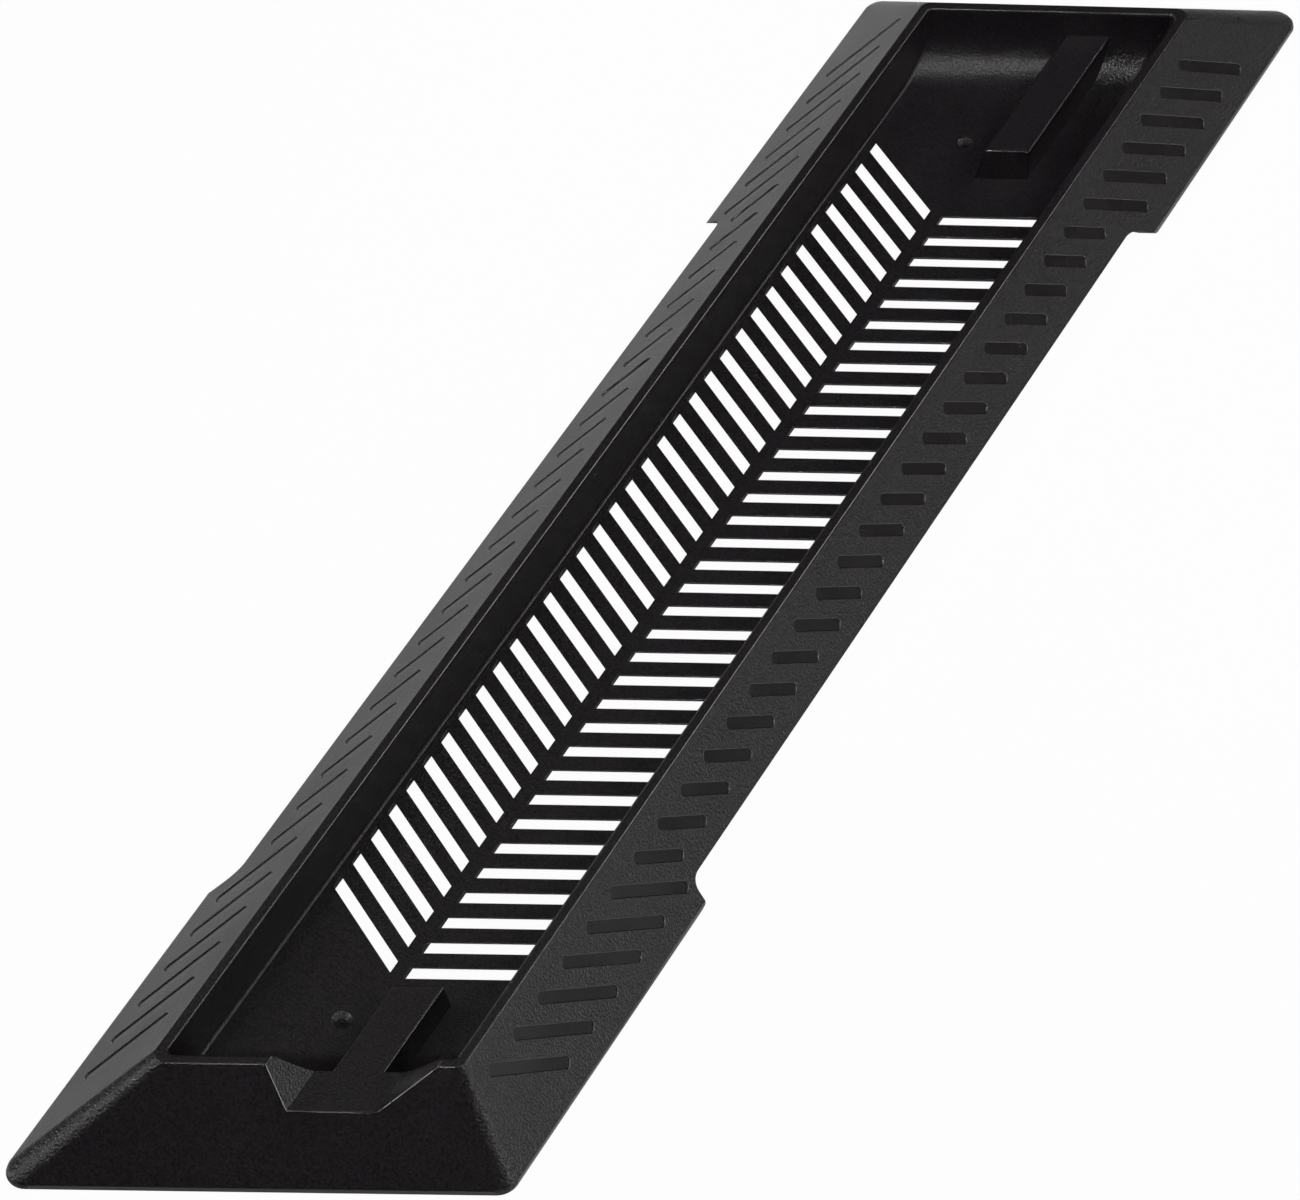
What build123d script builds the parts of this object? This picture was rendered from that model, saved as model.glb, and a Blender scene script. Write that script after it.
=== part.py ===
"""Vertical stand for a slim game console: one moulded shell.

A long cradle holds the console on its edge. Its ends are skewed to the console's slanted
profile, its floor is a chevron grille, and a sloping skirt runs round all four sides.
Frame: X across the cradle, Y along it, Z up, origin at the middle of the footprint.
"""
import os
from math import atan2, cos, radians, sin, tan

from build123d import *

# Plan and height
cradle_width = 40.65
cradle_length = 268.8
skew = radians(30.0)
rim_width = 1.75
rim_height = 16.1
flare = 14.33
rim_acute_radius = 1.9
rim_obtuse_radius = 2.4
rim_rounding = 0.5
foot_acute_radius = 3.2
foot_obtuse_radius = 4.2
foot_edge = 0.75
foot_rounding = 1.2

# Cradle and shell
floor_top = 3.6
floor_thickness = 1.5
side_draft = 0.72
end_draft = 0.9
end_sweep_radius = 10.0
corner_radius = 0.8
wall = 2.0
crown_depth = 4.6

# Chevron vents in the floor
vent_pitch = 5.85
vent_width = 2.4
vent_near_gap = 27.86
vent_far_gap = 46.0
vent_lean = radians(30.0)
vent_spine = 2.4
vent_margin = 1.55
vent_flare = radians(28.0)

# Arch under the middle of each long skirt, between the feet
arch_height = 4.35
foot_length = 46.9
arch_step_angle = radians(56.0)
arch_foot_radius = 2.2
arch_top_radius = 4.5

# Bars on the floor, and the notch above the near one
bar_height = 6.8
bar_shift = 0.1
bar_top_width = 7.4
bar_draft = 0.7
bar_end_draft = 1.0
bar_rounding = 0.35
near_bar_reach = 20.1
far_bar_reach = 34.8
notch_corner_gap = 1.825
notch_width = 12.6
notch_side_angle = radians(45.0)

# Slanted recesses on the long skirts
recess_pitch = 8.06
recess_near_gap = 14.2
recess_overrun = 7.0
recess_end_count = 6
recess_drop = 4.4
recess_angle = 42.5
recess_long = 17.5
recess_short = 11.1
recess_width = 2.0
recess_corner = 0.45
recess_depth = 0.36

# Dimples with a nub on the floor, where the moulding gates were
near_gate_shift = -3.2
near_gate_reach = 15.2
far_gate_shift = -3.05
far_gate_reach = 27.8
gate_diameter = 3.4
gate_depth = 0.5
gate_nub = 0.9
gate_nub_height = 0.4

# Sizes worked out from those above
overcut = 0.5
half_width = cradle_width / 2
half_length = cradle_length / 2
cradle_depth = rim_height - floor_top
floor_bottom = floor_top - floor_thickness
bar_top = floor_top + bar_height
notch_half_top = notch_width / 2 + (rim_height - bar_top) / tan(notch_side_angle)
notch_offset = half_width - notch_corner_gap - notch_half_top
bar_offset = notch_offset - bar_shift
near_bar_end = near_bar_reach - half_length
far_bar_end = half_length - far_bar_reach
arch_half_length = half_length - foot_length
vent_first = vent_near_gap - half_length
vent_count = 1 + int((cradle_length - vent_near_gap - vent_far_gap) / vent_pitch)
recess_first = recess_near_gap - half_length
recess_count = 1 + int((cradle_length - recess_near_gap + recess_overrun) / recess_pitch)
gate_spots = [(near_gate_shift, near_gate_reach - half_length),
              (far_gate_shift, half_length - far_gate_reach)]
foot_grow = rim_width + flare
slope_height = rim_height - foot_edge
slope_angle = atan2(slope_height, flare)
skirt_run = wall / sin(slope_angle)
hollow_top = rim_height - crown_depth
lean = tan(skew)
along_ends = Vector(cos(skew), sin(skew), 0)
across = (half_width + foot_grow + overcut) / cos(skew)
lengthwise = half_length + 2 * (foot_grow + across)


def skirt_outline(grow, height, acute_radius, obtuse_radius):
    """Skewed plan outline that stands a distance outside the cradle's rim."""
    x = half_width + grow
    y = half_length + grow / cos(skew)
    with BuildSketch(Plane.XY.offset(height)) as plan:
        with BuildLine():
            Polyline((x, y + x * lean), (-x, y - x * lean), (-x, -y - x * lean), (x, x * lean - y),
                     close=True)
        make_face()
        if acute_radius > 0:
            fillet(plan.vertices().filter_by(lambda v: v.X * v.Y > 0), acute_radius)
            fillet(plan.vertices().filter_by(lambda v: v.X * v.Y < 0), obtuse_radius)
    return plan.sketch


def inner_outline(height):
    """Plan outline of the skirt's inner face at a height."""
    grow = rim_width + flare * (rim_height - height) / slope_height - skirt_run
    return skirt_outline(grow, height, 0, 0)


def channel(grow, bottom, end_radius, edge_radius):
    """Cradle form: its long section swept across at the skew and trimmed by its cross section."""
    top = rim_height + overcut
    rise = overcut / cradle_depth
    drop = (rim_height - bottom) / cradle_depth
    wide = half_width + grow
    far = half_length + grow / cos(skew)
    with BuildPart() as form:
        with BuildSketch(Plane.YZ) as section:
            with BuildLine():
                Polyline((-far - end_draft * rise, top), (end_draft * drop - far, bottom),
                         (far - end_draft * drop, bottom), (far + end_draft * rise, top), close=True)
            make_face()
            fillet(section.vertices().group_by(Axis.Y)[0], end_radius)
        extrude(amount=across, dir=along_ends, both=True)
        with BuildSketch(Plane.XZ):
            with BuildLine():
                Polyline((-wide - side_draft * rise, top), (side_draft * drop - wide, bottom),
                         (wide - side_draft * drop, bottom), (wide + side_draft * rise, top), close=True)
            make_face()
        extrude(amount=lengthwise, both=True, mode=Mode.INTERSECT)
        if edge_radius > 0:
            sides = form.faces().sort_by(Axis.X)
            rim_edges = form.faces().sort_by(Axis.Z)[-1].edges()
            fillet((sides[0].edges() + sides[-1].edges()) - rim_edges, edge_radius)
    return form.part


def bar(end, toward, shrink, bottom):
    """Bar on the floor, from an end wall to its free end; shrink gives the core inside it."""
    top = bar_top - shrink
    growth = (top - bottom) / bar_height
    half_top = bar_top_width / 2 - shrink
    half_bottom = half_top + bar_draft * growth
    end_top = end + toward * shrink
    end_bottom = end_top - toward * bar_end_draft * growth
    root = toward * (half_length + wall / 2 - shrink)
    with BuildPart() as form:
        with BuildSketch(Plane.YZ):
            with BuildLine():
                Polyline((end_bottom, bottom), (end_top, top), (root, top), (root, bottom), close=True)
            make_face()
        extrude(amount=across, dir=along_ends, both=True)
        with BuildSketch(Plane.XZ.shift_origin((bar_offset, 0, 0))):
            with BuildLine():
                Polyline((-half_bottom, bottom), (half_bottom, bottom), (half_top, top), (-half_top, top),
                         close=True)
            make_face()
        extrude(amount=lengthwise, both=True, mode=Mode.INTERSECT)
        if shrink == 0:
            by_height = form.faces().sort_by(Axis.Z)
            by_end = form.faces().sort_by(lambda face: toward * face.center().Y)
            crest = by_height[-1].edges() - by_end[-1].edges()
            uprights = by_end[0].edges() - by_height[-1].edges() - by_height[0].edges()
            fillet(crest + uprights, bar_rounding)
    return form.part


def notch_profile(grow):
    """Cross section of the notch in the near end wall, seen along the cradle."""
    rise = rim_height + overcut - bar_top
    half_bottom = notch_width / 2
    half_top = half_bottom + rise / tan(notch_side_angle)
    with BuildSketch(Plane.XZ.shift_origin((notch_offset, 0, bar_top))) as profile:
        with BuildLine():
            Polyline((-half_bottom, 0), (half_bottom, 0), (half_top, rise), (-half_top, rise), close=True)
        make_face()
        if grow > 0:
            offset(amount=grow, kind=Kind.INTERSECTION)
    return profile.sketch


def is_notch_face(face):
    """True for the bottom and the slanted sides of the notch: they face up, and level along Y."""
    facing = face.normal_at()
    return abs(facing.Y) < 0.01 and facing.Z > 0.1 and face.center().Z < rim_height - overcut


def skew_place(shape):
    """Place of a shape along the cradle, counted from the skewed line through the middle."""
    return shape.center().Y - shape.center().X * lean


def recess_shape(length):
    """Outline of one slanted recess, lying along X, with its corners cut."""
    with BuildSketch() as shape:
        Rectangle(length, recess_width)
        chamfer(shape.vertices(), recess_corner)
    return shape.sketch


def skirt_plane(side):
    """Outer face of a long skirt, from the rim's edge; its own Y points up the slope."""
    return Plane(
        origin=(side * (half_width + rim_width), 0, rim_height),
        x_dir=(0, side, 0),
        z_dir=(side * sin(slope_angle), 0, cos(slope_angle)),
    )


# Outer skin of the cradle, which the hollow and the arch leave standing
tub = channel(wall, floor_bottom, end_sweep_radius + wall, 0)

# Space under the skirts
with BuildPart() as hollow:
    loft([inner_outline(-overcut), inner_outline(hollow_top)], ruled=True)
    add(tub, mode=Mode.SUBTRACT)
    extrude(notch_profile(wall), amount=lengthwise, mode=Mode.SUBTRACT)

# Space under the raised middle, cut across along the skew
with BuildPart() as arch:
    step = arch_height / tan(arch_step_angle)
    arch_reach = arch_half_length + 2 * arch_foot_radius
    with BuildSketch(Plane.YZ):
        with BuildLine():
            FilletPolyline((-arch_reach, 0), (-arch_half_length, 0), (step - arch_half_length, arch_height),
                           (arch_half_length - step, arch_height), (arch_half_length, 0), (arch_reach, 0),
                           radius=[arch_foot_radius, arch_top_radius, arch_top_radius, arch_foot_radius])
            Polyline((arch_reach, 0), (arch_reach, -overcut), (-arch_reach, -overcut), (-arch_reach, 0))
        make_face()
    extrude(amount=across, dir=along_ends, both=True)
    add(tub, mode=Mode.SUBTRACT)

with BuildPart() as stand:
    # Skirts, with a low upright edge that rounds over into the slope
    extrude(skirt_outline(foot_grow, 0, foot_acute_radius, foot_obtuse_radius), amount=foot_edge)
    loft([
        skirt_outline(foot_grow, foot_edge, foot_acute_radius, foot_obtuse_radius),
        skirt_outline(rim_width, rim_height, rim_acute_radius, rim_obtuse_radius),
    ], ruled=True)
    fillet(stand.edges().filter_by_position(Axis.Z, foot_edge, foot_edge), foot_rounding)

    # Cradle, and the notch in its near end wall
    add(channel(0, floor_top, end_sweep_radius, corner_radius), mode=Mode.SUBTRACT)
    extrude(notch_profile(0), amount=lengthwise, mode=Mode.SUBTRACT)

    # Rounded rim, which follows the notch down on the outside
    notch_faces = stand.faces(Select.LAST).filter_by(is_notch_face)
    notch_lip = ShapeList(face.edges().sort_by(skew_place)[0] for face in notch_faces)
    rim = stand.faces().sort_by(Axis.Z)[-1]
    fillet(rim.edges() + notch_lip, rim_rounding)

    # Underside
    add(hollow.part, mode=Mode.SUBTRACT)
    add(arch.part, mode=Mode.SUBTRACT)

    # Bars, cored from below
    for end, toward in ((near_bar_end, -1), (far_bar_end, 1)):
        add(bar(end, toward, 0, floor_bottom))
        add(bar(end, toward, wall, floor_bottom - overcut), mode=Mode.SUBTRACT)

    # Vents, wider below than above
    vent_length = half_width - side_draft - vent_margin - vent_spine / 2
    vent_middle = vent_first + vent_pitch * (vent_count - 1) / 2 + vent_spine / 2 * tan(vent_lean)
    widening = tan(vent_flare) / cos(vent_lean)
    narrow = vent_width / 2 - overcut * widening
    wide = vent_width / 2 + (floor_thickness + overcut) * widening
    for side in (1, -1):
        with BuildSketch(Plane.YZ.offset(side * vent_spine / 2)):
            with Locations((vent_middle, 0)):
                with GridLocations(vent_pitch, 0, vent_count, 1):
                    Polygon((-wide, floor_bottom - overcut), (wide, floor_bottom - overcut),
                            (narrow, floor_top + overcut), (-narrow, floor_top + overcut), align=None)
        extrude(amount=vent_length / cos(vent_lean), dir=(side * cos(vent_lean), sin(vent_lean), 0),
                mode=Mode.SUBTRACT)

    # Recesses, long ones over the feet and short ones over the arch
    short_places = range(recess_end_count, recess_count - recess_end_count)
    for side in (1, -1):
        with BuildSketch(skirt_plane(side).offset(overcut)):
            for place in range(recess_count):
                length = recess_short if place in short_places else recess_long
                along = recess_first + recess_pitch * place + length / 2 * cos(radians(recess_angle))
                down = recess_drop + length / 2 * sin(radians(recess_angle))
                with Locations(Location((along, -down), -recess_angle)):
                    add(recess_shape(length))
        extrude(amount=-overcut - recess_depth, mode=Mode.SUBTRACT)

    # Gate dimples, each with its nub
    dish_radius = (gate_diameter ** 2 / 4 + gate_depth ** 2) / (2 * gate_depth)
    dish_bottom = floor_top - gate_depth
    with Locations(*[(x, y, dish_bottom + dish_radius) for x, y in gate_spots]):
        Sphere(dish_radius, mode=Mode.SUBTRACT)
    with BuildSketch(Plane.XY.offset(dish_bottom)):
        with Locations(*gate_spots):
            Circle(gate_nub / 2)
    extrude(amount=gate_nub_height)

stand.part.label = "stand_body"
os.makedirs("parts", exist_ok=True)
export_step(stand.part, "parts/stand_body.step")
print(f"stand_body: {stand.part.volume / 1000:.1f} cm3, box {stand.part.bounding_box().size}")
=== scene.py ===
# %% [markdown]
# This scene dresses one moulded plastic stand, the kind that holds a slim game console upright
# on its edge. The real stand is a single black shell, so there is one piece to make, and one
# plastic to give it. The CAD part is loaded first as a fixed frame. Everything after this takes
# its place and its size from that frame, in metres, with X across the cradle, Y along it and
# Z up. The box of the CAD part is kept.

from math import cos, pi, radians, sin

import bmesh
import bpy
from mathutils import Matrix, Vector


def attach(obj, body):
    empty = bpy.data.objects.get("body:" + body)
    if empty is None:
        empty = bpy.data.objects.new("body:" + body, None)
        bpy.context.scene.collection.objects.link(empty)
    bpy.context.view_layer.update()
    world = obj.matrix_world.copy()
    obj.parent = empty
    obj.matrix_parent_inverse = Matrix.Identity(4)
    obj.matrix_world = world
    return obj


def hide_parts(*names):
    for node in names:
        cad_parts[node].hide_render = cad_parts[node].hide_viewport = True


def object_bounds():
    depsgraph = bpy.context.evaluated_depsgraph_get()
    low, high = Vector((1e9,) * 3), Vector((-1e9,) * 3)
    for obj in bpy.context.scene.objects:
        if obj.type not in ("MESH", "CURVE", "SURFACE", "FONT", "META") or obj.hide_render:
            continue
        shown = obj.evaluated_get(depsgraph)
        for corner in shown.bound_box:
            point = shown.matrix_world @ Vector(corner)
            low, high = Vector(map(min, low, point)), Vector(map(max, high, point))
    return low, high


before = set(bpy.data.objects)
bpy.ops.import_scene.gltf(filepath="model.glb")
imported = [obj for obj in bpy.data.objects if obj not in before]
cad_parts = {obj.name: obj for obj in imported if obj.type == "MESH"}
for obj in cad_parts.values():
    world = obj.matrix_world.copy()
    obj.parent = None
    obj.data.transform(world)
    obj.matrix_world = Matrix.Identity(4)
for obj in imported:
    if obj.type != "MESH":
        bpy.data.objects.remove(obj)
cad_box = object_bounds()
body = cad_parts["stand_body"]
mm = 0.001
print("CAD box in mm:", [[round(c / mm, 2) for c in corner] for corner in cad_box])

# %% [markdown]
# The photograph looks down on the near end of the stand from about 53 degrees, a little from its
# right, with a long lens that hardly narrows the far end. A camera can be placed by eye, but the
# straight edges and the vents of a stand show even a small error, so the camera here was worked
# out from the corners that can be seen. Its three angles turn into three axes, which are the
# columns of the camera's matrix. The picture is 1300 pixels wide.

# %% Place the camera
photo_width = 1300
focal_pixels = 5377.4
sensor_width = 36.0
nearest_seen = 0.01
camera_place = Vector((237.87, -526.76, 758.43)) * mm
camera_pitch = radians(53.284)
camera_heading = radians(-25.199)
camera_roll = radians(4.957)

looking = Vector((
    cos(camera_pitch) * sin(camera_heading),
    cos(camera_pitch) * cos(camera_heading),
    -sin(camera_pitch),
))
level_right = looking.cross(Vector((0, 0, 1))).normalized()
level_up = level_right.cross(looking)
camera_right = level_right * cos(camera_roll) + level_up * sin(camera_roll)
camera_up = level_up * cos(camera_roll) - level_right * sin(camera_roll)

lens = bpy.data.cameras.new("photo_camera")
lens.sensor_fit = "HORIZONTAL"
lens.sensor_width = sensor_width
lens.lens = sensor_width * focal_pixels / photo_width
lens.clip_start = nearest_seen
camera = bpy.data.objects.new("photo_camera", lens)
turn = Matrix((camera_right, camera_up, -looking)).transposed().to_4x4()
camera.matrix_world = Matrix.Translation(camera_place) @ turn
bpy.context.scene.collection.objects.link(camera)
bpy.context.scene.camera = camera
print(f"camera: {lens.lens:.1f} mm lens, {camera_place.length / mm:.0f} mm from the stand's middle")

# %% [markdown]
# The stand lies on a plain white table that fills the picture. A white surface alone would turn
# grey where the stand shades it, also behind the vents, which are pure white in the photo. So
# the table mixes two parts: a glow, and an ordinary white surface that takes the light and keeps
# a faint shadow. How much of it glows depends on the ray. Rays from the camera meet almost only
# the glow. Rays that bounced off the shiny plastic meet a weaker glow, and only beside the stand,
# because the table under the stand lies in its shade. This glow is painted light, placed to
# follow the stand's shade. A small helper joins the numbers for this.

# %% Work out the table's glow
camera_glow_share = 0.97
gloss_glow_share = 0.62
stand_half_width = cad_box[1][0]


def maths(tree, operation, *values):
    """Adds one sum to a material and returns its result."""
    node = tree.nodes.new("ShaderNodeMath")
    node.operation = operation
    for socket, value in zip(node.inputs, values):
        if isinstance(value, bpy.types.NodeSocket):
            tree.links.new(value, socket)
        else:
            socket.default_value = value
    return node.outputs[0]


def glow_share(tree):
    """The share of the table that glows for the ray that meets it."""
    rays = tree.nodes.new("ShaderNodeLightPath").outputs
    place = tree.nodes.new("ShaderNodeTexCoord").outputs["Object"]
    axes = tree.nodes.new("ShaderNodeSeparateXYZ")
    tree.links.new(place, axes.inputs["Vector"])
    # Painted light in the plastic's reflections, left out under the stand where the stand shades the
    # table.
    beside = maths(tree, "GREATER_THAN", maths(tree, "ABSOLUTE", axes.outputs["X"]), stand_half_width)
    bounced = maths(tree, "MAXIMUM", rays["Is Glossy Ray"], rays["Is Transmission Ray"])
    on_open_table = maths(tree, "MULTIPLY", bounced, beside)
    to_camera = maths(tree, "MULTIPLY", rays["Is Camera Ray"], camera_glow_share)
    return maths(tree, "MULTIPLY_ADD", on_open_table, gloss_glow_share, to_camera)


print(f"table glow: {camera_glow_share} for the camera, {gloss_glow_share} for the plastic")

# %% [markdown]
# The table itself is one large square at the height on which the stand rests. It is far larger
# than the picture, so that no edge of it shows or is mirrored in the plastic.

# %% Lay the white table
table_half = 4.0
table_white = (0.8, 0.8, 0.8, 1)


def white_table_finish():
    finish = bpy.data.materials.new("white_table")
    finish.use_nodes = True
    tree = finish.node_tree
    tree.nodes.clear()
    surface = tree.nodes.new("ShaderNodeBsdfDiffuse")
    surface.inputs["Color"].default_value = table_white
    glow = tree.nodes.new("ShaderNodeEmission")
    glow.inputs["Color"].default_value = (1, 1, 1, 1)
    glow.inputs["Strength"].default_value = 1
    mix = tree.nodes.new("ShaderNodeMixShader")
    tree.links.new(glow_share(tree), mix.inputs["Fac"])
    tree.links.new(surface.outputs[0], mix.inputs[1])
    tree.links.new(glow.outputs[0], mix.inputs[2])
    out = tree.nodes.new("ShaderNodeOutputMaterial")
    tree.links.new(mix.outputs[0], out.inputs["Surface"])
    return finish


corners = [(-table_half, -table_half, 0), (table_half, -table_half, 0),
           (table_half, table_half, 0), (-table_half, table_half, 0)]
table_mesh = bpy.data.meshes.new("white_table")
table_mesh.from_pydata(corners, [], [(0, 1, 2, 3)])
table_mesh.materials.append(white_table_finish())
table = bpy.data.objects.new("white_table", table_mesh)
bpy.context.scene.collection.objects.link(table)
print(f"white table: {2 * table_half:.0f} m square")

# %% [markdown]
# Black plastic shows its shape through what it reflects, so the lamps are large soft panels, and
# each one is there for a surface. The left skirt mostly reflects the table, and the two low left
# panels add a little to that. The low right panel gives the right skirt its sheen. The high
# panels and the overhead one light the level faces. The far right panel makes most of the thin
# bright lines along the rims and bars, and it is wide because the direction in which these edges
# mirror it swings along the stand. A panel is given by the way it lies from the stand in degrees,
# its distance and size in metres, and its brightness, where 1 is as bright as a white sheet.
# Blender wants an area lamp's power, which is that brightness times pi times the panel's area.

# %% Hang the soft panels
panels = [
    # name, azimuth, elevation, distance, width, height, brightness
    ("low_left_panel", 210, 12, 1.6, 0.50, 0.40, 10.0),
    ("far_left_panel", 153, 12, 1.6, 0.50, 0.40, 1.5),
    ("high_left_panel", 216, 52, 1.6, 0.75, 0.50, 5.0),
    ("high_right_panel", 4, 54, 1.6, 0.70, 0.50, 2.2),
    ("far_right_panel", 48, 44, 1.6, 0.60, 0.25, 7.0),
    ("overhead_panel", 300, 78, 0.8, 0.30, 0.30, 1.6),
    ("low_right_panel", 12, 23, 1.6, 0.50, 0.40, 5.6),
]


def soft_panel(name, azimuth, elevation, distance, width, height, brightness, aim=Vector()):
    toward = Vector((
        cos(radians(elevation)) * cos(radians(azimuth)),
        cos(radians(elevation)) * sin(radians(azimuth)),
        sin(radians(elevation)),
    ))
    lamp = bpy.data.lights.new(name, "AREA")
    lamp.shape = "RECTANGLE"
    lamp.size = width
    lamp.size_y = height
    lamp.energy = brightness * pi * width * height
    panel = bpy.data.objects.new(name, lamp)
    panel.location = aim + toward * distance
    panel.rotation_euler = (-toward).to_track_quat("-Z", "Y").to_euler()
    bpy.context.scene.collection.objects.link(panel)
    return panel


for panel in panels:
    soft_panel(*panel)
print("soft panels:", [panel[0] for panel in panels])

# %% [markdown]
# Two more panels light mainly the ends of the cradle: the near floor and bar, and the swept wall
# at the far end, which has a soft bright band in the photo. A photographer would put a honeycomb
# grid before such a panel, so that light leaves it almost straight. In Blender a lamp's spread
# does this. The narrow beam holds all the lamp's power, so these brightness values are small.

# %% Light the two ends of the cradle
grid_spread = radians(10)
end_reach = 128 * mm
gridded_panels = [
    ("near_end_panel", 117, 58, 1.6, 0.15, 0.15, 0.018, Vector((0, -end_reach, 0))),
    ("far_end_panel", 297, 57, 1.6, 0.30, 0.30, 0.23, Vector((0, end_reach, 0))),
]
for panel in gridded_panels:
    soft_panel(*panel).data.spread = grid_spread
print("gridded panels:", [panel[0] for panel in gridded_panels])

# %% [markdown]
# A photo room is never quite dark, so a faint even light fills the shadows. The plain view
# transform shows each colour as it is written, which suits a white table.

# %% Fill the room
room_strength = 0.03
room = bpy.data.worlds.new("room")
room.use_nodes = True
room.node_tree.nodes["Background"].inputs["Color"].default_value = (1, 1, 1, 1)
room.node_tree.nodes["Background"].inputs["Strength"].default_value = room_strength
bpy.context.scene.world = room
bpy.context.scene.view_settings.view_transform = "Standard"
print(f"room light: {room_strength}")

# %% [markdown]
# The shell is copied from the CAD node, because its form is already right. The node comes as
# thin triangles, which would shade in streaks once edges are rounded, so the copy is welded and
# its flat triangles are joined into whole faces.

# %% Copy the shell and join its faces
weld_distance = 0.002 * mm
flat_angle = radians(0.25)

shell_mesh = bmesh.new()
shell_mesh.from_mesh(body.data)
bmesh.ops.remove_doubles(shell_mesh, verts=shell_mesh.verts, dist=weld_distance)
bmesh.ops.dissolve_limit(shell_mesh, angle_limit=flat_angle, verts=shell_mesh.verts,
                         edges=shell_mesh.edges)
print(f"shell: {len(body.data.polygons)} triangles joined into {len(shell_mesh.faces)} faces")

# %% [markdown]
# Both long skirts carry a row of slanted recesses, and the next steps have to tell a recess from
# the skirt round it. A skirt is flat, so a normal and a height describe its plane. They could be
# typed in, but it is safer to read them off the largest face that slopes outward on each side.

# %% Measure the long skirts
outward_slope = 0.5


def long_skirt(side):
    """Normal and height of the plane of the long skirt on one side."""
    outward = [face for face in shell_mesh.faces
               if face.normal.x * side > outward_slope and face.normal.z > outward_slope]
    face = max(outward, key=lambda face: face.calc_area())
    return face.normal.copy(), face.normal.dot(face.verts[0].co)


skirts = [long_skirt(1), long_skirt(-1)]
print("long skirt normals:", [tuple(round(c, 3) for c in normal) for normal, _ in skirts])

# %% [markdown]
# A mould never gives a perfectly sharp edge, and the thin bright lines in the photo are such
# edges catching the light. The CAD part already has the large rounds, but the recesses and vents
# are still sharp. A bevel over all edges would spoil the finished rounds, so the sharp edges of
# these two are picked out by what they belong to.

# %% Pick out the sharp edges
sharp_angle = radians(20)
near_level = 0.02 * mm
floor_level = 3.6 * mm
cradle_half = 20.4 * mm
same_way = 0.999
square_to = 0.05
level_face = 0.99


def is_sharp_corner(edge):
    return len(edge.link_faces) == 2 and edge.calc_face_angle_signed() > sharp_angle


def is_recess_edge(edge):
    """One face lies on a long skirt, and the other goes straight down into it."""
    for normal, height in skirts:
        if abs(normal.dot(edge.verts[0].co) - height) < near_level:
            low, high = sorted(face.normal.dot(normal) for face in edge.link_faces)
            if high > same_way and abs(low) < square_to:
                return True
    return False


def is_vent_edge(edge):
    """One face is the cradle's floor, which lies at one level."""
    middle = (edge.verts[0].co + edge.verts[1].co) / 2
    on_floor = abs(middle.z - floor_level) < near_level and abs(middle.x) < cradle_half
    return on_floor and max(face.normal.z for face in edge.link_faces) > level_face


sharp_edges = [edge for edge in shell_mesh.edges if is_sharp_corner(edge)]
recess_edges = [edge for edge in sharp_edges if is_recess_edge(edge)]
vent_edges = [edge for edge in sharp_edges if not is_recess_edge(edge) and is_vent_edge(edge)]
print(f"sharp edges: {len(recess_edges)} at recesses, {len(vent_edges)} at vents")

# %% [markdown]
# Each kind of edge then gets its own round, a tenth of a millimetre at the vents and a little more
# at the recesses, cut in three steps. A round this small is only a line in the picture, but
# without it the edges look like paper.

# %% Round the edges
round_steps = 3
circular = 0.5
recess_round = 0.16 * mm
vent_round = 0.10 * mm

for edges, size in [(recess_edges, recess_round), (vent_edges, vent_round)]:
    still_there = [edge for edge in edges if edge.is_valid]
    bmesh.ops.bevel(shell_mesh, geom=still_there, offset=size, offset_type="OFFSET", affect="EDGES",
                    segments=round_steps, profile=circular, clamp_overlap=False, loop_slide=True)
print(f"rounded shell: {len(shell_mesh.faces)} faces")

# %% [markdown]
# The slanted recesses are smooth inside, without the grain, so they look darker than the skirt
# round them. Their floors are parallel to the skirt and a little below it, which is how they are
# found. In the photo the recesses cast only a thin line of shade, so the floors are raised a
# little, and they get the second of the shell's three finishes.

# %% Find the smooth recess floors
floor_lift = 0.12 * mm
least_depth = 0.2 * mm
most_depth = 1.0 * mm
grained, smooth, worn = range(3)

recess_floors = []
for normal, height in skirts:
    floors = []
    for face in shell_mesh.faces:
        below = height - normal.dot(face.calc_center_median())
        if face.normal.dot(normal) > same_way and least_depth < below < most_depth:
            floors.append(face)
    for corner in {corner for face in floors for corner in face.verts}:
        corner.co += normal * floor_lift
    recess_floors += floors
for face in recess_floors:
    face.material_index = smooth
print(f"smooth recess floors: {len(recess_floors)} faces")

# %% [markdown]
# Rounded edges are rubbed in use and get a shine. The inner corners look smooth too: where wall
# and floor meet, the photo shows only a thin even line. Both could be painted by hand, but their
# shape gives them away: they are long narrow strips, and the width of a strip divided by the angle
# at which it bends is the radius of the round. Every strip with a small radius is taken as worn on
# an outer edge, and as smooth in an inner corner. A triangle is only half as large as the strip it
# belongs to, which is allowed for.

# %% Find the worn edges and the inner corners
largest_round = 1.4 * mm
least_bend = radians(4)
crease_angle = radians(42)
strip_ratio = 4


def is_rounded_strip(face, side):
    """A narrow strip of a small round, on an outer edge for 1 or in an inner corner for -1."""
    length = max(edge.calc_length() for edge in face.edges)
    sides = [edge for edge in face.edges if edge.calc_length() > length / 2]
    bend = max(side * edge.calc_face_angle_signed(0) for edge in sides)
    width = face.calc_area() / length * (2 if len(face.edges) == 3 else 1)
    is_strip = width < length / strip_ratio
    return is_strip and least_bend < bend < crease_angle and width / bend < largest_round


plain_faces = [face for face in shell_mesh.faces if face.material_index == grained]
worn_edges = [face for face in plain_faces if is_rounded_strip(face, 1)]
for face in worn_edges:
    face.material_index = worn
inner_corners = [face for face in plain_faces
                 if face.material_index == grained and is_rounded_strip(face, -1)]
for face in inner_corners:
    face.material_index = smooth
print(f"worn edges: {len(worn_edges)} faces, inner corners: {len(inner_corners)} faces")

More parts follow.
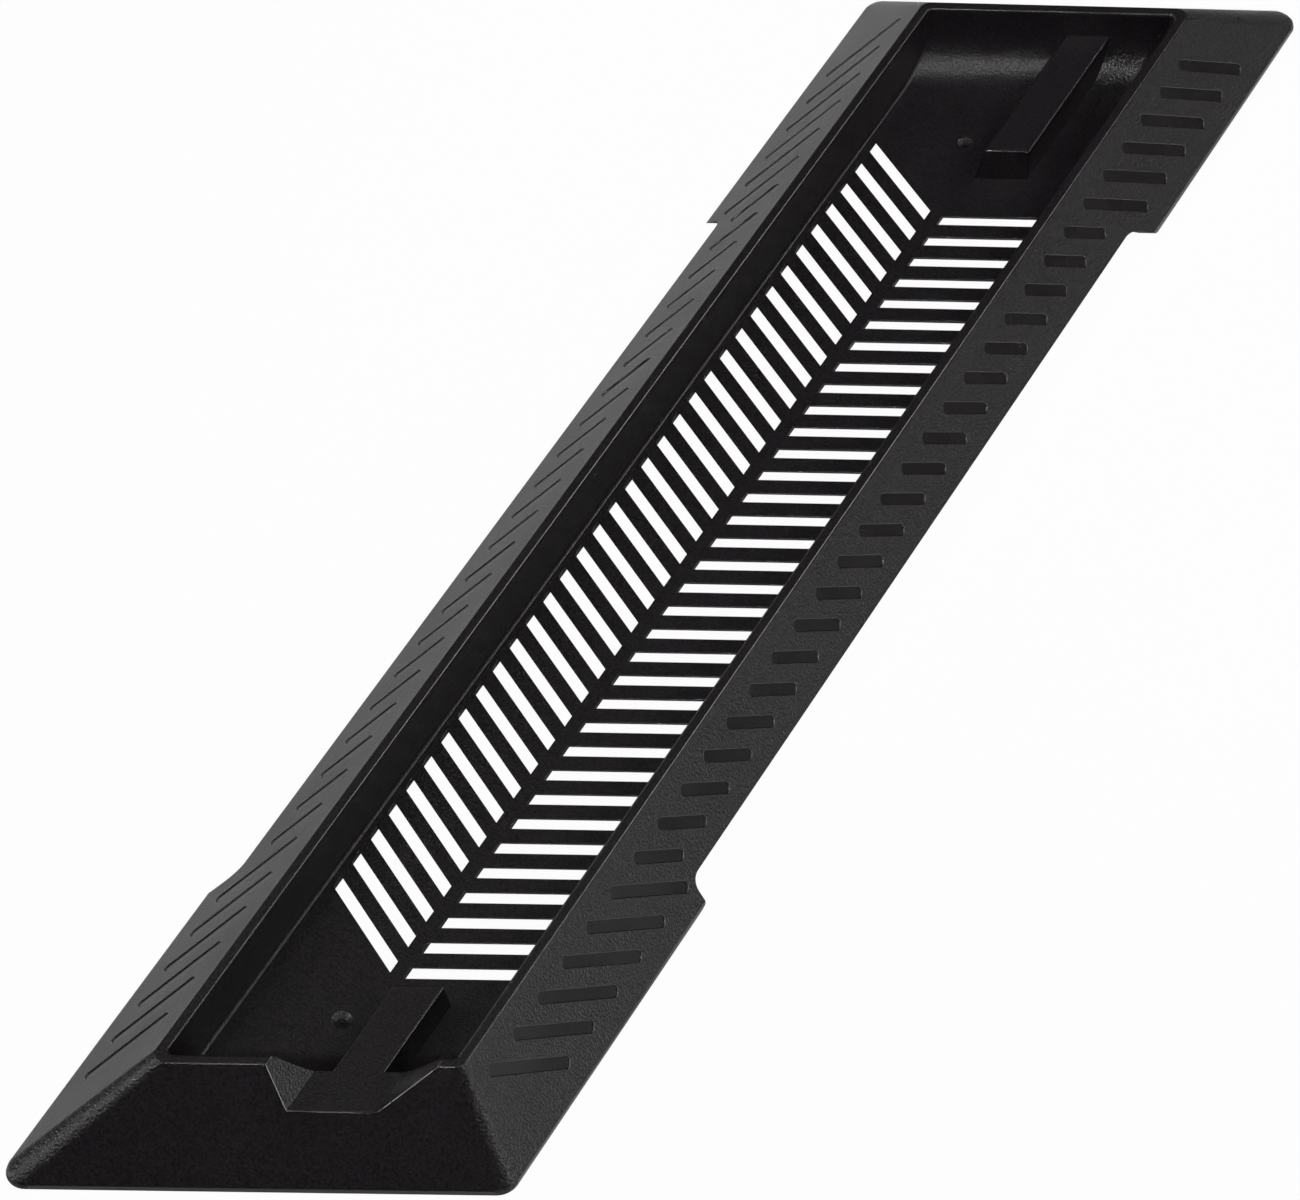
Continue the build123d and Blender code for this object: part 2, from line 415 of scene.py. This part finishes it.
# %% [markdown]
# The shell's rounds are made of flat strips, and smooth shading blends them into one curve. True
# corners must stay crisp, so an edge that bends by more than the crease angle is left sharp. A
# weighted normal lets the large flat faces keep their own direction, so that the blending stays
# within the rounds.

# %% Shade the shell
face_weight = 100

for face in shell_mesh.faces:
    face.smooth = True
for edge in shell_mesh.edges:
    edge.smooth = edge.calc_face_angle(0) < crease_angle
shell_data = bpy.data.meshes.new("moulded_shell")
shell_mesh.to_mesh(shell_data)
shell_mesh.free()
shell = bpy.data.objects.new("moulded_shell", shell_data)
bpy.context.scene.collection.objects.link(shell)
even_shading = shell.modifiers.new("even_shading", "WEIGHTED_NORMAL")
even_shading.keep_sharp = True
even_shading.weight = face_weight
print(f"moulded shell: {len(shell_data.vertices)} corners")

# %% [markdown]
# The plastic is black with a fine grain that the mould's textured steel leaves on it. It is
# matte in itself, but at a low angle it reflects the white table, which is why the left skirt
# looks grey. A principled shader gives both. Noise of about half a millimetre makes the grain
# through a bump. The same noise paints shade into the grain's hollows and light onto its peaks,
# standing in for the small shadows and highlights that the grain catches. A slower noise lets
# the shine vary from place to place, as it does on any moulding.

# %% Mix the black plastic
plastic_color = (0.013, 0.0105, 0.0125)
grain_height = 0.125 * mm
grain_scale, grain_detail = 2300, 1
shine_scale, shine_detail = 70, 2
# How much painted shade the grain's hollows get and how much painted light its peaks get.
grain_shade_contrast = 0.8
shine_swing = 0.03
noise_low, noise_high = 0.3, 0.7


def shade(factor):
    return [channel * factor for channel in plastic_color] + [1]


def noise(tree, scale, detail):
    """Noise fixed to the stand, with so many grains to the metre."""
    place = tree.nodes.new("ShaderNodeTexCoord")
    pattern = tree.nodes.new("ShaderNodeTexNoise")
    pattern.inputs["Scale"].default_value = scale
    pattern.inputs["Detail"].default_value = detail
    tree.links.new(place.outputs["Object"], pattern.inputs["Vector"])
    return pattern.outputs["Fac"]


def stretched(tree, pattern, low=0, high=1):
    """Stretches the usual values of a noise over a wished range."""
    ends = tree.nodes.new("ShaderNodeMapRange")
    ends.inputs["From Min"].default_value = noise_low
    ends.inputs["From Max"].default_value = noise_high
    ends.inputs["To Min"].default_value = low
    ends.inputs["To Max"].default_value = high
    tree.links.new(pattern, ends.inputs["Value"])
    return ends.outputs["Result"]


def black_plastic(name, roughness, grain_strength, reflection):
    finish = bpy.data.materials.new(name)
    finish.use_nodes = True
    tree = finish.node_tree
    surface = tree.nodes["Principled BSDF"]
    surface.inputs["Base Color"].default_value = shade(1)
    surface.inputs["Roughness"].default_value = roughness
    surface.inputs["Specular IOR Level"].default_value = reflection

    grain = noise(tree, grain_scale, grain_detail)
    relief = tree.nodes.new("ShaderNodeBump")
    relief.inputs["Strength"].default_value = grain_strength
    relief.inputs["Distance"].default_value = grain_height
    tree.links.new(grain, relief.inputs["Height"])
    tree.links.new(relief.outputs["Normal"], surface.inputs["Normal"])

    # Painted shade in the grain's hollows and painted light on its peaks, from the same noise as the
    # bump.
    painted_grain_shade = tree.nodes.new("ShaderNodeMix")
    painted_grain_shade.data_type = "RGBA"
    painted_grain_shade.inputs["A"].default_value = shade(1 - grain_shade_contrast * grain_strength)
    painted_grain_shade.inputs["B"].default_value = shade(1 + grain_shade_contrast * grain_strength)
    tree.links.new(stretched(tree, grain), painted_grain_shade.inputs["Factor"])
    tree.links.new(painted_grain_shade.outputs["Result"], surface.inputs["Base Color"])

    shine = noise(tree, shine_scale, shine_detail)
    swing = stretched(tree, shine, roughness - shine_swing, roughness + shine_swing)
    tree.links.new(swing, surface.inputs["Roughness"])
    return finish


print(f"black plastic: {grain_scale} grains to the metre, {grain_height / mm} mm high")

# %% [markdown]
# The shell carries one plastic in three states. The flat faces have the full grain. The recess
# floors and inner corners are smoother and almost without grain. The worn edges are polished and
# reflect about twice as much as plain plastic, so that they draw the thin bright lines of the
# photo. The finishes stand in the order in which the faces count them, and then the shell takes
# the place of the CAD node.

# %% Give the shell its finishes
finishes = [
    # name, roughness, strength of the grain, reflection
    ("grained_black_plastic", 0.36, 1.0, 0.5),
    ("smooth_black_plastic", 0.27, 0.03, 0.5),
    ("worn_black_plastic", 0.2, 0.1, 1.0),
]
for finish in finishes:
    shell_data.materials.append(black_plastic(*finish))
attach(shell, "root")
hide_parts("stand_body")
print("finishes:", [finish[0] for finish in finishes])
